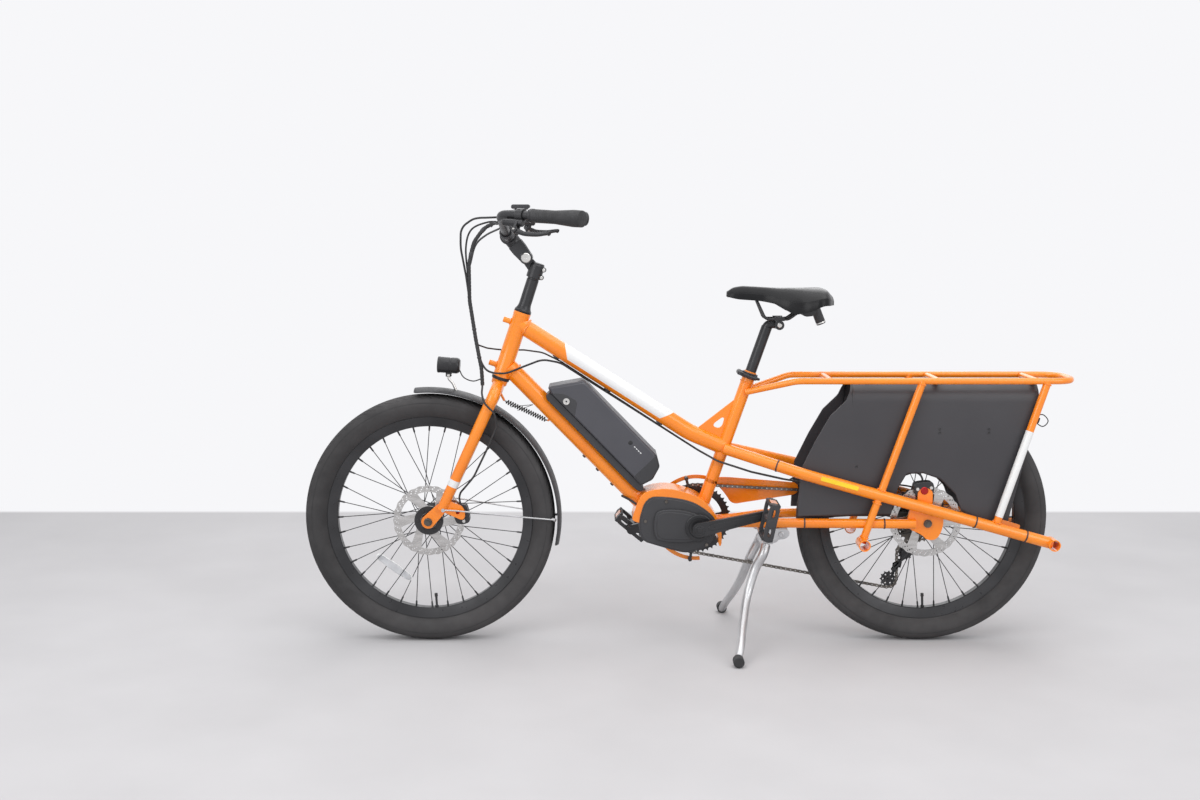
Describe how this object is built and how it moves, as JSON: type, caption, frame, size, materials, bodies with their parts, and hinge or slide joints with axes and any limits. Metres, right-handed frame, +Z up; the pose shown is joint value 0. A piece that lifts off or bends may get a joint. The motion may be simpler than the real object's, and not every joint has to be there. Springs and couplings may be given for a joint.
{
  "type": "longtail cargo bicycle",
  "caption": "Long-wheelbase electric cargo bicycle with a low top tube, mid motor, battery on the down tube, rear rack with side panels, wide centre stand and front light.",
  "frame": {"origin": "on the ground under the middle of the whole bike's box", "axes": "+X towards the rear wheel, +Y to the rider's right, the drive side, +Z up; the bike faces -X"},
  "size_m": [1.9272, 0.6822, 1.1046],
  "materials": {
    "orange_paint": "glossy powder coat",
    "black_paint": "satin",
    "black_plastic": "fine grain",
    "grey_plastic": "satin",
    "rubber": "matt",
    "tyre_rubber": "matt",
    "silver_metal": "satin",
    "steel": "machined",
    "dark_steel": "oiled",
    "saddle_cover": "glossy",
    "red_lens": "glossy"
  },
  "bodies": {
    "frame": {"head_tube": "orange_paint", "top_tube": "orange_paint", "down_tube": "orange_paint", "seat_tube": "orange_paint", "left_main_stay": "orange_paint", "right_main_stay": "orange_paint", "left_chain_stay": "orange_paint", "right_chain_stay": "orange_paint", "cargo_rack": "orange_paint", "left_side_panel": "black_plastic", "right_side_panel": "black_plastic", "motor_unit": "black_plastic", "battery_mount": "black_plastic", "chain_guard": "orange_paint", "chain": "dark_steel", "derailleur": "black_paint", "rear_caliper": "black_paint", "rear_axle": "steel", "kickstand_bracket": "silver_metal", "seat_clamp": "black_paint", "tail_light": "red_lens", "rear_hose": "rubber", "steering_spring": "steel"},
    "steering": {"fork": "orange_paint", "steerer_riser": "black_paint", "stem_base": "black_paint", "front_fender": "black_plastic", "front_caliper": "black_paint", "front_axle": "steel", "cable_bundle": "rubber"},
    "handlebar": {"stem_arm": "black_paint", "handlebar": "black_paint", "left_grip": "rubber", "right_grip": "rubber", "left_lever_mount": "black_paint", "right_lever_mount": "black_paint", "display": "black_plastic"},
    "headlight": {"headlight": "black_paint"},
    "left_lever": {"left_brake_lever": "black_paint"},
    "right_lever": {"right_brake_lever": "black_paint"},
    "front_wheel": {"front_tyre": "tyre_rubber", "front_rim": "black_paint", "front_hub": "black_paint", "front_rotor": "steel"},
    "rear_wheel": {"rear_tyre": "tyre_rubber", "rear_rim": "black_paint", "rear_hub": "black_paint", "rear_rotor": "steel"},
    "cassette": {"cassette": "dark_steel"},
    "cranks": {"left_crank": "black_paint", "right_crank": "black_paint"},
    "left_pedal": {"left_pedal": "black_plastic"},
    "right_pedal": {"right_pedal": "black_plastic"},
    "upper_pulley": {"upper_pulley": "black_plastic"},
    "lower_pulley": {"lower_pulley": "black_plastic"},
    "kickstand": {"kickstand": "silver_metal"},
    "seat": {"seat_post": "black_paint", "saddle": "saddle_cover"},
    "battery": {"battery": "grey_plastic"},
    "clamp_lever": {"clamp_lever": "black_paint"}
  },
  "joints": [
    {"name": "steering", "type": "hinge", "parent": "frame", "child": "steering", "pos_m": [-0.4687, 0, 0.671], "axis": [0.3225, 0, 0.9466], "range_deg": [-50, 50], "stiffness_Nm_per_rad": 2, "deforming": ["steering_spring", "rear_hose", "cable_bundle"]},
    {"name": "stem_tilt", "type": "hinge", "parent": "steering", "child": "handlebar", "pos_m": [-0.401, 0, 0.9745], "axis": [0, 1, 0], "range_deg": [-10, 20], "deforming": ["cable_bundle"]},
    {"name": "front_wheel_spin", "type": "hinge", "parent": "steering", "child": "front_wheel", "pos_m": [-0.649, 0, 0.317], "axis": [0, -1, 0], "continuous": true},
    {"name": "rear_wheel_spin", "type": "hinge", "parent": "frame", "child": "rear_wheel", "pos_m": [0.599, 0, 0.317], "axis": [0, -1, 0], "continuous": true},
    {"name": "crank_spin", "type": "hinge", "parent": "frame", "child": "cranks", "pos_m": [0.03, 0, 0.303], "axis": [0, -1, 0], "continuous": true},
    {"name": "cassette_spin", "type": "hinge", "parent": "frame", "child": "cassette", "pos_m": [0.599, 0, 0.317], "axis": [0, -1, 0], "continuous": true},
    {"name": "upper_pulley_spin", "type": "hinge", "parent": "frame", "child": "upper_pulley", "pos_m": [0.574, 0, 0.214], "axis": [0, -1, 0], "continuous": true},
    {"name": "lower_pulley_spin", "type": "hinge", "parent": "frame", "child": "lower_pulley", "pos_m": [0.53, 0, 0.143], "axis": [0, -1, 0], "continuous": true},
    {"name": "left_pedal_spin", "type": "hinge", "parent": "cranks", "child": "left_pedal", "pos_m": [0.19564, 0, 0.34124], "axis": [0, 1, 0], "continuous": true},
    {"name": "right_pedal_spin", "type": "hinge", "parent": "cranks", "child": "right_pedal", "pos_m": [-0.13564, 0, 0.26476], "axis": [0, 1, 0], "continuous": true},
    {"name": "kickstand_fold", "type": "hinge", "parent": "frame", "child": "kickstand", "pos_m": [0.221, 0, 0.272], "axis": [0, -1, 0], "range_deg": [0, 104]},
    {"name": "left_brake", "type": "hinge", "parent": "handlebar", "child": "left_lever", "pos_m": [-0.41166, -0.26643, 1.04356], "axis": [-0.3756, -0.7572, 0.5345], "range_deg": [0, 12], "stiffness_Nm_per_rad": 1.5, "springref_deg": -5.73},
    {"name": "right_brake", "type": "hinge", "parent": "handlebar", "child": "right_lever", "pos_m": [-0.41166, 0.26643, 1.04356], "axis": [0.3756, -0.7572, -0.5345], "range_deg": [0, 12], "stiffness_Nm_per_rad": 1.5, "springref_deg": -5.73},
    {"name": "headlight_tilt", "type": "hinge", "parent": "steering", "child": "headlight", "pos_m": [-0.598, 0, 0.681], "axis": [0, 1, 0], "range_deg": [-15, 15]},
    {"name": "seat_height", "type": "slide", "parent": "frame", "child": "seat", "axis": [0.3266, 0, 0.9452], "range_m": [-0.08, 0.05]},
    {"name": "battery_slide", "type": "slide", "parent": "frame", "child": "battery", "axis": [0, -1, 0], "range_m": [0, 0.12]},
    {"name": "clamp_lever_swing", "type": "hinge", "parent": "frame", "child": "clamp_lever", "pos_m": [0.1325, -0.028, 0.68857], "axis": [-0.3266, 0, -0.9452], "range_deg": [0, 160]}
  ],
  "couplings": [
    {"joint": "cassette_spin", "follows": "crank_spin", "ratio": 2},
    {"joint": "upper_pulley_spin", "follows": "crank_spin", "ratio": -4},
    {"joint": "lower_pulley_spin", "follows": "crank_spin", "ratio": 4}
  ]
}
